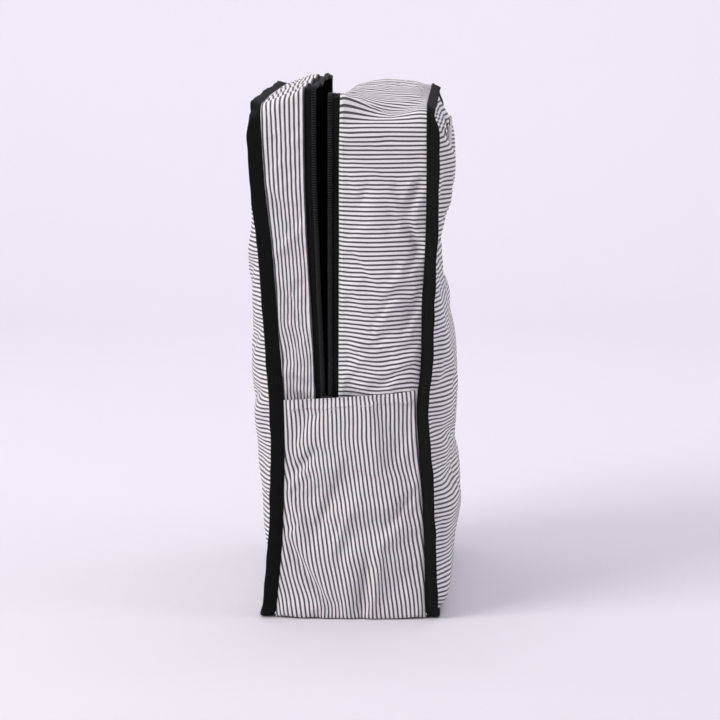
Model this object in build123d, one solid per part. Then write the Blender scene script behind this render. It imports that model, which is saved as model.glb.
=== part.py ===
from build123d import *
import math
import os

# Zip-around striped canvas bag, standing upright on its base. Millimetres.
# X runs through the bag's depth (the opening front panel faces -X), Y across its width,
# Z up. The origin is the middle of the base, on the surface that the bag stands on.

WIDTH = 300.0                 # across the gusset walls
HEIGHT = 412.0                # base to the top of the gusset
FRONT_SEAM = -55.0            # plane of the front panel's bound seam
REAR_SEAM = 58.0              # plane of the rear panel's bound seam
CORNER = 26.0                 # radius of the outline's two upper corners
BASE_CORNER = 12.0            # the base's corners are squarer, pressed to the floor
CANVAS = 1.2                  # thickness of the outer cloth, with its interfacing
LINING = 0.8
FOAM = 4.0
GAP = 0.3                     # clearance between layers and between moving pieces

PANEL_LIFT = 3.2              # the panels' lower edge sits above the bindings' bottom run
FRONT_CROWN = 20.0            # how far the front panel stands out from its seam
FRONT_CROWN_TOP = 11.0        # both panels are flatter behind their handles
REAR_CROWN = 26.0
REAR_CROWN_TOP = 18.0
PANEL_EDGE_RADIUS = 11.0

FIN_DEPTH = 11.0              # bound seam allowance, along X
FIN_FLARE = 6.0               # how far its free edge leans away from the gusset
FIN_THICKNESS = 2.4

ZIP_END = 168.0               # the zip runs from here, up, over the top and down again
REAR_CLOTH_EDGE = -9.0        # rear gusset's edge along the zip
FRONT_CLOTH_EDGE = -29.0
REAR_COIL_EDGE = -17.7
FRONT_COIL_EDGE = -19.7
COIL_WIDTH = 3.4
TAPE_DEPTH = 2.1              # tape's inner face, measured in from the gusset's face
TAPE_THICKNESS = 0.6
TAPE_TUCK = 3.5               # tape sewn under the cloth's edge
TAPE_LAP = 0.8                # tape stops this far short of its coil's inner edge
COIL_PROUD = 0.8              # coils stand out from the gusset's face
LINING_TUCK = 4.0             # gusset linings stop this far from the cloth's edge

HINGE_X = -64.0               # the front panel folds down about this line, at ZIP_END
REST_OPEN = 1.8               # degrees: the zip stands open a little
LEAN = 2.4                    # degrees: the front panel leans out from its zip
MAX_OPEN = 60.0               # degrees from rest

STOP_WIDTH = 14.0             # cloth tab over the end of the zip
STOP_HEIGHT = 9.0
STOP_THICKNESS = 1.0
STOP_CORNER = 2.0
STOP_DROP = 1.3               # its top edge, below the zip's end

POCKET_TOP = 180.0
POCKET_BOTTOM = 13.0
POCKET_STAND = 6.4            # how far the pocket cloth stands off the gusset
POCKET_BEND = 60.0            # below this the pocket tapers in to the gusset
POCKET_SEAM = 1.0             # caught this far in from both bound seams
POCKET_SEAT = 0.2             # its back edge, out from the gusset's face

SLIDER_LENGTH = 12.0
SLIDER_WIDTH = 11.0
PLATE = 1.4
PLATE_STAND = 1.2             # outer plate's back, out from the gusset's face
NECK = 1.2                    # the neck and the pin's two cheeks
NECK_HEIGHT = 4.2
CHEEK_X = 4.3
PIN_RADIUS = 0.6
PIN_STAND = 1.5               # pin's centre, out from the outer plate
PIN_DROP = 4.0                # pin's centre, down from the slider's top
EYE_RADIUS = 1.5
EYE_HOLE = 0.85
NEAR_SLIDER_Z = 168.6         # bottom of the near slider, at the zip's end
FAR_SLIDER_Z = 196.0
TAB_LENGTH = 22.0
TAB_WIDTH = 7.0
TAB_THICKNESS = 1.2

HANDLE_TOP = 389.0
HANDLE_DROP = 66.0
HANDLE_LEG_Y = 58.0
HANDLE_WIDTH = 24.0
HANDLE_THICKNESS = 2.6
HANDLE_BEND = 14.0            # inner radius of the handle's two bends
ANCHOR_HEIGHT = 34.0
ANCHOR_THICKNESS = 2.0
ANCHOR_DROP = 3.0             # anchors end this far below the handle's top
ANCHOR_GAP = 0.5              # between an anchor and the handle that hangs in front of it

BOARD_THICKNESS = 2.0
BOARD_MARGIN = 3.0            # between the base board and the walls

HALF = WIDTH / 2
SLIDER_X = (REAR_COIL_EDGE + FRONT_COIL_EDGE) / 2
FAR_AWAY = 400.0


def outline(offset, bottom):
    """Rounded outline of the bag across its width, grown by offset, standing at bottom."""
    width, top = 2 * (HALF + offset), HEIGHT + offset
    height = top - bottom
    shape = Pos(0, (bottom + top) / 2) * RectangleRounded(width, height, CORNER + offset)
    foot = RectangleRounded(width, height / 2, BASE_CORNER + offset)
    return Plane.YZ * (shape + Pos(0, bottom + height / 4) * foot).face()


def tube(outer, inner, bottom):
    """A tube through the bag's depth between two offsets of its outline."""
    solid = extrude(outline(outer, bottom), amount=FAR_AWAY)
    core = extrude(outline(inner, bottom + outer - inner), amount=FAR_AWAY)
    return Pos(-FAR_AWAY / 2, 0, 0) * (solid - core)


def side_prism(points):
    """The side view's polygon, as (x, z) points, carried across the whole width."""
    face = make_face(Polyline([Vector(x, 0, z) for x, z in points], close=True))
    return Pos(0, FAR_AWAY, 0) * extrude(face, amount=2 * FAR_AWAY, dir=(0, -1, 0))


def slab(x0, x1, z0, z1):
    """A block across the whole width between two depths and two heights."""
    return side_prism([(x0, z0), (x1, z0), (x1, z1), (x0, z1)])


def opened(shape, degrees):
    """Turn a flap piece out about the fold line, towards the front."""
    hinge = Axis((HINGE_X, 0, ZIP_END), (0, -1, 0))
    return shape.rotate(hinge, degrees)


def flap_room():
    """Where the flap's pieces may be while closed, so that they clear the body when open."""
    slope = math.tan(math.radians(MAX_OPEN + REST_OPEN + LEAN + 2))
    low, high = ZIP_END + GAP, 2 * FAR_AWAY
    return side_prism([
        (FAR_AWAY, low), (FAR_AWAY, high), (HINGE_X - (high - low) / slope, high), (HINGE_X, low),
    ])


# ---- crowned panels ---------------------------------------------------------------------

def pillow(crown, shrink):
    """A slab with a rounded rim, standing out from the plane X = 0 towards +X."""
    block = extrude(outline(-shrink - GAP, PANEL_LIFT + shrink), amount=crown - shrink)
    rim = block.faces().sort_by(Axis.X)[-1].edges()
    return fillet(rim, PANEL_EDGE_RADIUS - shrink)


def layer(crown, side_points, outer, inner):
    """One cloth or foam layer of a crowned panel, within its side view."""
    def body(depth):
        side = [(0, HEIGHT), (0, 0)] + [(x - depth, z) for x, z in side_points]
        return pillow(crown, depth) & side_prism(side)
    return body(outer) - body(inner)


def rear_layer(outer, inner):
    """A layer of the rear panel, which has a dip below its handle."""
    full, top = REAR_CROWN, REAR_CROWN_TOP
    side = [
        (full, 0), (full, 235), (full - 5, 262), (top - 3, 296),
        (top - 3, 312), (top, 336), (top, HEIGHT),
    ]
    return Pos(REAR_SEAM, 0, 0) * layer(full, side, outer, inner)


def front_layer(outer, inner):
    """A whole layer of the front panel, closed and upright."""
    full, top = FRONT_CROWN, FRONT_CROWN_TOP
    side = [(full, 0), (full, 285), (top, 325), (top, HEIGHT)]
    return Pos(FRONT_SEAM, 0, 0) * mirror(layer(full, side, outer, inner), Plane.YZ)


def front_lower(outer, inner):
    return front_layer(outer, inner) & slab(-FAR_AWAY, FAR_AWAY, 0, ZIP_END - GAP)


def front_upper(outer, inner):
    return opened(front_layer(outer, inner) & flap_room(), REST_OPEN + LEAN)


def front_fold():
    """The crease of the front panel, between the fold line and the flap's rigid part."""
    band = front_layer(0, CANVAS) & slab(-FAR_AWAY, HINGE_X - GAP, ZIP_END + GAP, FAR_AWAY)
    band = opened(band, REST_OPEN + LEAN) - opened(flap_room(), REST_OPEN + LEAN)
    band = band & slab(-FAR_AWAY, HINGE_X - GAP, ZIP_END + 2 * GAP, FAR_AWAY)
    return largest(band)


def largest(shape):
    """The main solid of a cut piece, without the crumbs beside it."""
    return max(shape.solids(), key=lambda solid: solid.volume)


# ---- bound seams ------------------------------------------------------------------------

def fin_ring(seam, side):
    """The binding round a panel: it flares out from the seam, and lies flat underneath."""
    def cone(root, tip, bottom):
        near = Pos(seam, 0, 0) * outline(root, bottom)
        far = Pos(seam + side * FIN_DEPTH, 0, 0) * outline(tip, bottom)
        return loft([near, far])
    outer = cone(FIN_THICKNESS + GAP, FIN_FLARE + FIN_THICKNESS, GAP)
    inner = cone(GAP, FIN_FLARE, GAP + FIN_THICKNESS)
    return outer - inner


# ---- gusset, linings and zip ------------------------------------------------------------

def rear_strip(x0, x1, outer, inner):
    """A strip of the body between two depths, from the zip's ends up and over the top."""
    return tube(outer, inner, -outer) & slab(x0, x1, ZIP_END, FAR_AWAY * 2)


def front_strip(x1, outer, inner):
    """A strip of the flap between the zip and the leaning front seam."""
    top = HEIGHT + FIN_FLARE
    lean = math.tan(math.radians(LEAN)) * (top - ZIP_END)
    room = side_prism([
        (FRONT_SEAM + GAP, ZIP_END + GAP), (x1, ZIP_END + GAP), (x1, top),
        (FRONT_SEAM + GAP - lean, top),
    ])
    return opened(tube(outer, inner, -outer) & room, REST_OPEN)


def front_bar(x0, x1, outer, inner):
    """A zip member of the flap, straight up from the fold."""
    bar = tube(outer, inner, -outer) & slab(x0, x1, ZIP_END + GAP, FAR_AWAY * 2)
    return opened(bar, REST_OPEN)


def lower_strip(outer, inner, bottom):
    """The boot of the gusset: up both sides to the zip's ends, and across the base."""
    return tube(outer, inner, bottom) & slab(
        FRONT_SEAM + GAP, REAR_SEAM - GAP, -1, ZIP_END - GAP)


def zip_stop(side):
    """Cloth tab over the end of the zip, sewn on the outside of the boot."""
    stop = Box(STOP_WIDTH, STOP_THICKNESS, STOP_HEIGHT)
    stop = fillet(stop.edges().filter_by(Axis.Y), STOP_CORNER)
    y = HALF + STOP_THICKNESS / 2 + GAP / 3
    return Pos(SLIDER_X, side * y, ZIP_END - STOP_DROP - STOP_HEIGHT / 2) * stop


# ---- side pockets -----------------------------------------------------------------------

def pocket(side):
    """A patch pocket caught in both bound seams, open at the top."""
    back = HALF + POCKET_SEAT
    inner = HALF + POCKET_STAND
    outer = inner + CANVAS
    cut = back - 1                    # the room is cut through the open back
    x0, x1 = FRONT_SEAM + POCKET_SEAM, REAR_SEAM - POCKET_SEAM

    def prism(points, low, high):
        face = make_face(Polyline([Vector(low, side * y, z) for y, z in points], close=True))
        return extrude(face, amount=high - low, dir=(1, 0, 0))

    shell = prism([
        (back, POCKET_BOTTOM), (outer, POCKET_BEND), (outer, POCKET_TOP), (back, POCKET_TOP),
    ], x0, x1)
    room = prism([
        (cut, POCKET_BOTTOM + 2), (back, POCKET_BOTTOM + 6), (inner, POCKET_BEND),
        (inner, POCKET_TOP + 1), (cut, POCKET_TOP + 1),
    ], x0 + CANVAS, x1 - CANVAS)
    return shell - room


# ---- sliders ----------------------------------------------------------------------------

def slider(side, low):
    """Zip slider: plates outside and inside the tapes, joined by a thin neck."""
    top = low + SLIDER_LENGTH

    def block(width, y0, y1, z0, z1, rounded=0.0):
        body = Box(width, y1 - y0, z1 - z0)
        if rounded:
            body = fillet(body.edges().filter_by(Axis.Y), rounded)
        return Pos(SLIDER_X, side * (y0 + y1) / 2, (z0 + z1) / 2) * body

    outside = HALF + PLATE_STAND
    inside = HALF - TAPE_DEPTH - GAP
    body = block(SLIDER_WIDTH, outside, outside + PLATE, low, top, 2.5)
    body += block(SLIDER_WIDTH - 2, inside - PLATE, inside, low, top, 2.0)
    body += block(NECK, inside - 0.2, outside + 0.2, top - 0.4 - NECK_HEIGHT, top - 0.4)
    pin_y, pin_z = tab_pin(side, low)
    pin = Cylinder(PIN_RADIUS, 2 * CHEEK_X - NECK / 2)
    body += Pos(SLIDER_X, pin_y, pin_z) * Rot(0, 90, 0) * pin
    cheek = Box(NECK, PIN_STAND + PIN_RADIUS + 0.5, PIN_DROP)
    for offset in (-CHEEK_X, CHEEK_X):
        body += Pos(SLIDER_X + offset, pin_y - side * 0.7, pin_z) * cheek
    return body


def tab_pin(side, low):
    """Centre of the pin that the pull tab hangs on."""
    return side * (HALF + PLATE_STAND + PLATE + PIN_STAND), low + SLIDER_LENGTH - PIN_DROP


def pull_tab(side, low):
    """Pull tab with an eye round the slider's pin, hanging straight down."""
    pin_y, pin_z = tab_pin(side, low)
    plate = Box(TAB_WIDTH, TAB_THICKNESS, TAB_LENGTH - 1.0)
    plate = fillet(plate.edges().filter_by(Axis.Y).sort_by(Axis.Z)[:2], 2.5)
    cord_hole = Pos(0, 0, -TAB_LENGTH / 2 + 4.0) * Rot(90, 0, 0) * Cylinder(1.3, 4.0)
    tab = Pos(0, 0, -TAB_LENGTH / 2 - 0.5) * (plate - cord_hole)
    eye = Rot(0, 90, 0) * Cylinder(EYE_RADIUS, TAB_WIDTH)
    hole = Rot(0, 90, 0) * Cylinder(EYE_HOLE, TAB_WIDTH + 1)
    return Pos(SLIDER_X, pin_y, pin_z) * (tab + eye - hole)


# ---- handles ----------------------------------------------------------------------------

def handle(face_x):
    """A short cloth grab handle hanging from its anchors, in front of the plane face_x."""
    leg = HANDLE_LEG_Y
    gap = HANDLE_DROP - HANDLE_WIDTH
    strap = Rectangle(2 * leg + HANDLE_WIDTH, HANDLE_DROP)
    strap = fillet(strap.vertices().sort_by(Axis.Y)[:2], HANDLE_WIDTH + HANDLE_BEND)
    hollow = Rectangle(2 * leg - HANDLE_WIDTH, gap)
    hollow = fillet(hollow.vertices().sort_by(Axis.Y)[:2], HANDLE_BEND)
    loop = strap - Pos(0, HANDLE_WIDTH / 2) * hollow
    start = face_x + GAP + ANCHOR_THICKNESS + ANCHOR_GAP
    face = Plane.YZ * Pos(0, HANDLE_TOP - HANDLE_DROP / 2) * loop
    return Pos(start, 0, 0) * extrude(face, amount=HANDLE_THICKNESS)


def handle_anchors(face_x):
    """The sewn-down ends of a handle, flat on the panel behind the hanging part."""
    patch = Box(ANCHOR_THICKNESS, HANDLE_WIDTH, ANCHOR_HEIGHT)
    patch = fillet(patch.edges().filter_by(Axis.X), 1.5)
    x = face_x + GAP + ANCHOR_THICKNESS / 2
    z = HANDLE_TOP - ANCHOR_DROP - ANCHOR_HEIGHT / 2
    return Compound(children=[Pos(x, side * HANDLE_LEG_Y, z) * patch for side in (-1, 1)])


def front_side(shape):
    """Carry a rear handle piece over to the leaning front flap."""
    return opened(mirror(shape, Plane.YZ), REST_OPEN + LEAN)


REAR_FACE = REAR_SEAM + REAR_CROWN_TOP
FRONT_FACE = -FRONT_SEAM + FRONT_CROWN_TOP
LINING_TOP = TAPE_DEPTH + GAP
LINED = LINING_TOP + LINING
DISH_LINING = CANVAS + GAP + FOAM + GAP
TAPE = (-TAPE_DEPTH + TAPE_THICKNESS, -TAPE_DEPTH)
COIL = (COIL_PROUD, -TAPE_DEPTH + TAPE_THICKNESS + GAP / 3)
REAR_EDGE = REAR_SEAM - GAP
BOARD_BASE = CANVAS + GAP / 2
LINING_BASE = BOARD_BASE + BOARD_THICKNESS + 1.5 * GAP

front_fin = fin_ring(FRONT_SEAM, -1)

parts = {
    "rear_panel": rear_layer(0, CANVAS),
    "rear_panel_foam": rear_layer(CANVAS + GAP, CANVAS + GAP + FOAM),
    "rear_panel_lining": rear_layer(DISH_LINING, DISH_LINING + LINING),
    "front_panel_lower": front_lower(0, CANVAS),
    "front_panel_fold": front_fold(),
    "front_panel_upper": front_upper(0, CANVAS),
    "front_foam_lower": front_lower(CANVAS + GAP, CANVAS + GAP + FOAM),
    "front_foam_upper": front_upper(CANVAS + GAP, CANVAS + GAP + FOAM),
    "front_lining_lower": front_lower(DISH_LINING, DISH_LINING + LINING),
    "front_lining_upper": front_upper(DISH_LINING, DISH_LINING + LINING),
    "rear_gusset": rear_strip(REAR_CLOTH_EDGE, REAR_EDGE, 0, -CANVAS),
    "rear_gusset_lining": rear_strip(
        REAR_CLOTH_EDGE + LINING_TUCK, REAR_EDGE, -LINING_TOP, -LINED),
    "front_gusset": front_strip(FRONT_CLOTH_EDGE, 0, -CANVAS),
    "front_gusset_lining": front_strip(FRONT_CLOTH_EDGE - LINING_TUCK, -LINING_TOP, -LINED),
    "lower_gusset": lower_strip(0, -CANVAS, 0),
    "lower_gusset_lining": lower_strip(-LINING_TOP, -LINED, LINING_BASE),
    "base_board": Pos((FRONT_SEAM + REAR_SEAM) / 2, 0, BOARD_BASE + BOARD_THICKNESS / 2) * Box(
        REAR_SEAM - FRONT_SEAM - BOARD_MARGIN, WIDTH - 2 * (BASE_CORNER + BOARD_MARGIN),
        BOARD_THICKNESS),
    "near_side_pocket": pocket(-1),
    "far_side_pocket": pocket(1),
    "rear_binding": fin_ring(REAR_SEAM, 1),
    "front_binding_lower": front_fin & slab(-FAR_AWAY, FAR_AWAY, 0, ZIP_END - GAP),
    "front_binding_upper": opened(front_fin & flap_room(), REST_OPEN + LEAN),
    "rear_zip_tape": rear_strip(REAR_COIL_EDGE + TAPE_LAP, REAR_CLOTH_EDGE + TAPE_TUCK, *TAPE),
    "rear_zip_coil": rear_strip(REAR_COIL_EDGE, REAR_COIL_EDGE + COIL_WIDTH, *COIL),
    "front_zip_tape": front_bar(
        FRONT_CLOTH_EDGE - TAPE_TUCK, FRONT_COIL_EDGE - TAPE_LAP, *TAPE),
    "front_zip_coil": front_bar(FRONT_COIL_EDGE - COIL_WIDTH, FRONT_COIL_EDGE, *COIL),
    "near_zip_stop": zip_stop(-1),
    "far_zip_stop": zip_stop(1),
    "near_slider": slider(-1, NEAR_SLIDER_Z),
    "far_slider": slider(1, FAR_SLIDER_Z),
    "near_pull_tab": pull_tab(-1, NEAR_SLIDER_Z),
    "far_pull_tab": pull_tab(1, FAR_SLIDER_Z),
    "rear_handle": handle(REAR_FACE),
    "rear_handle_anchors": handle_anchors(REAR_FACE),
    "front_handle": front_side(handle(FRONT_FACE)),
    "front_handle_anchors": front_side(handle_anchors(FRONT_FACE)),
}

os.makedirs("parts", exist_ok=True)
for name, shape in parts.items():
    export_step(shape, f"parts/{name}.step")
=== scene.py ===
import math

import bpy
import numpy as np
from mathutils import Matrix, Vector, noise


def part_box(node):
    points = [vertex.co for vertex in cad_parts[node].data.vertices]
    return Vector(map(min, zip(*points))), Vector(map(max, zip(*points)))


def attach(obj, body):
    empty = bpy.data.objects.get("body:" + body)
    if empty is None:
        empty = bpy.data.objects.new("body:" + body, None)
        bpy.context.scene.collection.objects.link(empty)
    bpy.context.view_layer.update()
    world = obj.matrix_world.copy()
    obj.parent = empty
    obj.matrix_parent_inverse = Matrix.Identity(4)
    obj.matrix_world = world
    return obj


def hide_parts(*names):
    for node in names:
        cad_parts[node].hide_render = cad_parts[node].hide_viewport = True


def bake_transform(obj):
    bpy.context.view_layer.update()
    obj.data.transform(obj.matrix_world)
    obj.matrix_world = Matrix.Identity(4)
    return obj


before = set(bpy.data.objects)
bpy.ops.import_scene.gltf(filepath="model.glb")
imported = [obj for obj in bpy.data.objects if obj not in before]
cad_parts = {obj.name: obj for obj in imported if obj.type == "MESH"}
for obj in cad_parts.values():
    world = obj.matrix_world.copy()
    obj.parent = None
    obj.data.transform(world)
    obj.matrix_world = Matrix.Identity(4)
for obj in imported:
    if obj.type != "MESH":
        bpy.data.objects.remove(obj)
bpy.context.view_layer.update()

MM = 0.001

# ---- sizes taken from the frame ----
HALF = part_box("rear_gusset")[1].y  # half of the bag's width
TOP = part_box("rear_gusset")[1].z  # the gusset's top
ZIP_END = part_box("rear_gusset")[0].z  # the zip stops here on both sides
CORNER = 26 * MM  # radius of the gusset's rounded corners
BASE_CORNER = 10 * MM  # the lower corners are pressed to the floor
FRONT_POWER, REAR_POWER, SEAM_POWER = 8.0, 8.0, 2.6  # how square the upper corners are
BASE_POWER = 6.0  # and the lower ones
STRIPE = 3.45  # mm from one stripe to the next
DARK_SHARE = 0.43  # how much of each is dark

# ---- camera ----
AIM = Vector((0.0022, 0.0, 0.1878))
DISTANCE = 2.837
LENS = 168.6  # focal length in mm
AZIMUTH, ELEVATION = math.radians(2.1), math.radians(8.29)
away = Vector((math.sin(AZIMUTH) * math.cos(ELEVATION), -math.cos(AZIMUTH) * math.cos(ELEVATION),
               math.sin(ELEVATION)))
camera = bpy.data.objects.new("camera", bpy.data.cameras.new("camera"))
camera.data.lens = LENS
camera.data.clip_start = 0.05
camera.location = AIM + away * DISTANCE
camera.rotation_euler = away.to_track_quat("Z", "Y").to_euler()
bpy.context.scene.collection.objects.link(camera)
bpy.context.scene.camera = camera


def smooth_curve(points):
    """A smooth curve through (height, x) points in mm, as a function of height in metres."""
    z = np.array([p[0] for p in points]) * MM
    x = np.array([p[1] for p in points]) * MM
    slope = np.gradient(x, z)

    def at(height):
        h = np.clip(height, z[0], z[-1])
        i = np.clip(np.searchsorted(z, h) - 1, 0, len(z) - 2)
        d = z[i + 1] - z[i]
        t = (h - z[i]) / d
        return ((2 * t**3 - 3 * t**2 + 1) * x[i] + (t**3 - 2 * t**2 + t) * d * slope[i]
                + (3 * t**2 - 2 * t**3) * x[i + 1] + (t**3 - t**2) * d * slope[i + 1])
    return at


# Depth of each seam and edge, by height up the side: the soft bag leans and waves a little.
front_seam = smooth_curve([
    (0, -61), (25, -58.5), (60, -55.5), (110, -53.5), (180, -54), (233, -58), (300, -63),
    (345, -68), (400, -71.5), (430, -72)])
rear_seam = smooth_curve([
    (0, 61), (30, 60.5), (90, 58.5), (140, 55), (170, 53.5), (205, 56.5), (255, 57.5),
    (300, 60), (360, 61), (430, 60.5)])
front_zip_edge = smooth_curve([
    (0, -28), (168, -28), (217, -29.5), (249, -31), (281, -33), (340, -35.8), (430, -36.5)])
rear_zip_edge = smooth_curve([(0, -9.5), (184, -9.5), (300, -9), (390, -8.5), (430, -7)])


def inside_front(z):
    """Where the linings meet the front seam, and below, the rear one."""
    return front_seam(z) + 1.5 * MM


def inside_rear(z):
    return rear_seam(z) - 1.5 * MM


# ---- outline of the bag across its width ----
SIDE_RUN = TOP - CORNER - BASE_CORNER
TOP_RUN = 2 * (HALF - CORNER)
BASE_RUN = 2 * (HALF - BASE_CORNER)
ARC = math.pi / 2 * CORNER
BASE_ARC = math.pi / 2 * BASE_CORNER
PERIMETER = 2 * SIDE_RUN + TOP_RUN + BASE_RUN + 2 * ARC + 2 * BASE_ARC


def up_side(height):
    """Arc length along the outline of a point on the near side's straight run."""
    return height - BASE_CORNER


def far_side(height):
    """Arc length of a point on the far side's straight run."""
    return SIDE_RUN + 2 * ARC + TOP_RUN + (TOP - CORNER - height)


def outline(s):
    """(y, z, normal y, normal z) at arc length s: up the near side, over, down, and under."""
    s = np.mod(np.asarray(s, float), PERIMETER)
    y, z, turn = np.zeros_like(s), np.zeros_like(s), np.zeros_like(s)
    runs = [
        (SIDE_RUN, 0), (ARC, CORNER), (TOP_RUN, 0), (ARC, CORNER), (SIDE_RUN, 0),
        (BASE_ARC, BASE_CORNER), (BASE_RUN, 0), (BASE_ARC, BASE_CORNER)]
    start, py, pz, heading = 0.0, -HALF, BASE_CORNER, math.pi / 2
    for length, radius in runs:
        here = (s >= start) & (s <= start + length + 1e-12)
        d = s[here] - start
        if radius:
            cy, cz = py + radius * math.sin(heading), pz - radius * math.cos(heading)
            a = heading - d / radius
            y[here], z[here] = cy - radius * np.sin(a), cz + radius * np.cos(a)
            turn[here] = a
            heading -= math.pi / 2
            py, pz = cy - radius * math.sin(heading), cz + radius * math.cos(heading)
        else:
            y[here], z[here] = py + d * math.cos(heading), pz + d * math.sin(heading)
            turn[here] = heading
            py, pz = py + length * math.cos(heading), pz + length * math.sin(heading)
        start += length
    return y, z, -np.sin(turn), np.cos(turn)


def squarer(nz, ny, power):
    """How far out a rounded corner goes to become squarer: power 2 leaves it round."""
    power = np.where(nz > 0, power, BASE_POWER)
    arch = (np.abs(ny) ** power + np.abs(nz) ** power) ** (-1 / power) - 1
    return arch * np.where(nz > 0, CORNER, BASE_CORNER)


def ripple(points, size, seed):
    """Smooth seeded noise from -1 to 1 at each point, for features of about this size."""
    shift = Vector((seed * 7.31, seed * 3.17, seed * 5.73))
    flat = points.reshape(-1, 3)
    values = [noise.noise(Vector(p) / size + shift) for p in flat]
    return np.array(values).reshape(points.shape[:-1])


def crease(across, along, a, b, spread, depth):
    """A soft fold on a grid, along the line from a to b, with its spread and depth: all in mm."""
    ax, ay = a[0] * MM, a[1] * MM
    bx, by = b[0] * MM, b[1] * MM
    dx, dy = bx - ax, by - ay
    length = math.hypot(dx, dy)
    t = ((across - ax) * dx + (along - ay) * dy) / length**2
    off = ((across - ax) * dy - (along - ay) * dx) / length
    fade = np.clip(np.minimum(t, 1 - t) * 3 + 0.35, 0, 1)
    return depth * MM * fade * np.exp(-(off / (spread * MM))**2)


def creases(across, along, folds):
    """All of a piece's soft folds together."""
    return sum(crease(across, along, *fold) for fold in folds)


def eased(value, low, high):
    """A smooth step from 0 at low to 1 at high."""
    step = np.clip((value - low) / (high - low), 0, 1)
    return step * step * (3 - 2 * step)


def edge_fade(cols):
    """0 on a strip's two long edges and 1 over most of its width."""
    t = np.linspace(0, 1, cols)[None, :]
    return np.clip(np.minimum(t, 1 - t) * 8, 0, 1)


def down(values, grid):
    """Values that go down the rows of a grid, the same in every column."""
    return np.broadcast_to(values[:, None], grid.shape[:2])


def outward(ny, nz):
    """The outline's normals as vectors, for the rows of a grid."""
    return np.stack([0 * ny, ny, nz], -1)[:, None, :]


# ---- meshes ----
def new_piece(name, verts, faces, material):
    """A smooth mesh object in the scene."""
    mesh = bpy.data.meshes.new(name)
    mesh.from_pydata(verts, [], faces)
    mesh.materials.append(material)
    mesh.shade_smooth()
    piece = bpy.data.objects.new(name, mesh)
    bpy.context.scene.collection.objects.link(piece)
    return piece


def grid_mesh(name, points, cloth, material, close=False, tube=False):
    """A quad grid of points, with cloth coordinates in metres in the UV map "cloth".

    close joins the last row to the first, and tube the last column to the first: the cloth
    coordinates then have one row or column more than the points."""
    rows, cols = points.shape[:2]
    r, c = np.meshgrid(np.arange(rows if close else rows - 1),
                       np.arange(cols if tube else cols - 1), indexing="ij")
    r, c = r.ravel(), c.ravel()
    corners = [(r, c), (r, c + 1), (r + 1, c + 1), (r + 1, c)]
    faces = np.stack([(i % rows) * cols + j % cols for i, j in corners], 1)
    uv = np.stack([cloth[i, j] for i, j in corners], 1)
    centre = points.reshape(-1, 3)[faces].mean(1)
    flat = points.reshape(-1, 3)[faces]
    normal = np.cross(flat[:, 2] - flat[:, 0], flat[:, 3] - flat[:, 1])
    middle = np.array([0, 0, TOP / 2])
    if not tube and (normal * (centre - middle)).sum() < 0:
        faces, uv = faces[:, ::-1], uv[:, ::-1]
    faces, uv = faces.tolist(), uv.reshape(-1, 2)
    if tube and not close:
        ends = np.arange(cols), (rows - 1) * cols + np.arange(cols)[::-1]
        faces += [end.tolist() for end in ends]
        uv = np.concatenate([uv, cloth[0, :cols], cloth[-1, :cols][::-1]])
    piece = new_piece(name, points.reshape(-1, 3).tolist(), faces, material)
    layer = piece.data.uv_layers.new(name="cloth")
    layer.data.foreach_set("uv", np.ascontiguousarray(uv, np.float32).ravel())
    return piece


def tube_faces(base, stations, sides, along, around):
    """Faces of a capped tube: vertex (i, j) of it is number base + i * along + j * around."""
    def at(i, j):
        return base + i * along + j % sides * around
    walls = [(at(i, j), at(i, j + 1), at(i + 1, j + 1), at(i + 1, j))
             for i in range(stations - 1) for j in range(sides)]
    start = tuple(at(0, j) for j in reversed(range(sides)))
    end = tuple(at(stations - 1, j) for j in range(sides))
    return [*walls, start, end]


def coordinates(piece):
    co = np.zeros(len(piece.data.vertices) * 3)
    piece.data.vertices.foreach_get("co", co)
    return co.reshape(-1, 3)


def move_to(piece, co):
    piece.data.vertices.foreach_set("co", co.ravel())
    piece.data.update()


def rounded(piece):
    """A piece whose faces are subdivided once."""
    rounder = piece.modifiers.new("rounder", "SUBSURF")
    rounder.levels = rounder.render_levels = 1
    return piece


def thicken(piece, thickness):
    """Rounded cloth of a real thickness, inwards from its face."""
    shell = rounded(piece).modifiers.new("shell", "SOLIDIFY")
    shell.thickness = thickness
    shell.offset = -1.0
    return piece


def blurred(grid, reach):
    """A grid of vectors averaged over this many cells each way."""
    for axis in (0, 1):
        pad = [(0, 0)] * grid.ndim
        pad[axis] = (reach + 1, reach)
        total = np.cumsum(np.pad(grid, pad, mode="edge"), axis=axis)
        count = grid.shape[axis]
        upper = np.take(total, np.arange(count) + 2 * reach + 1, axis=axis)
        lower = np.take(total, np.arange(count), axis=axis)
        grid = (upper - lower) / (2 * reach + 1)
    return grid


FRAMES = 22  # the cloth settles over this many
RIM_CELLS = 3  # wrinkles fade in over these edge cells
CLOTH_FLOOR = 0.3 * MM  # wrinkles keep this far above the ground


def edge_pins(rows, cols, ends=True):
    """Pin weights for a grid: its long edges, and its ends if asked."""
    pins = np.zeros((rows, cols))
    pins[:, 0] = pins[:, -1] = 1.0
    if ends:
        pins[0, :] = pins[-1, :] = 1.0
    return pins


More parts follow.
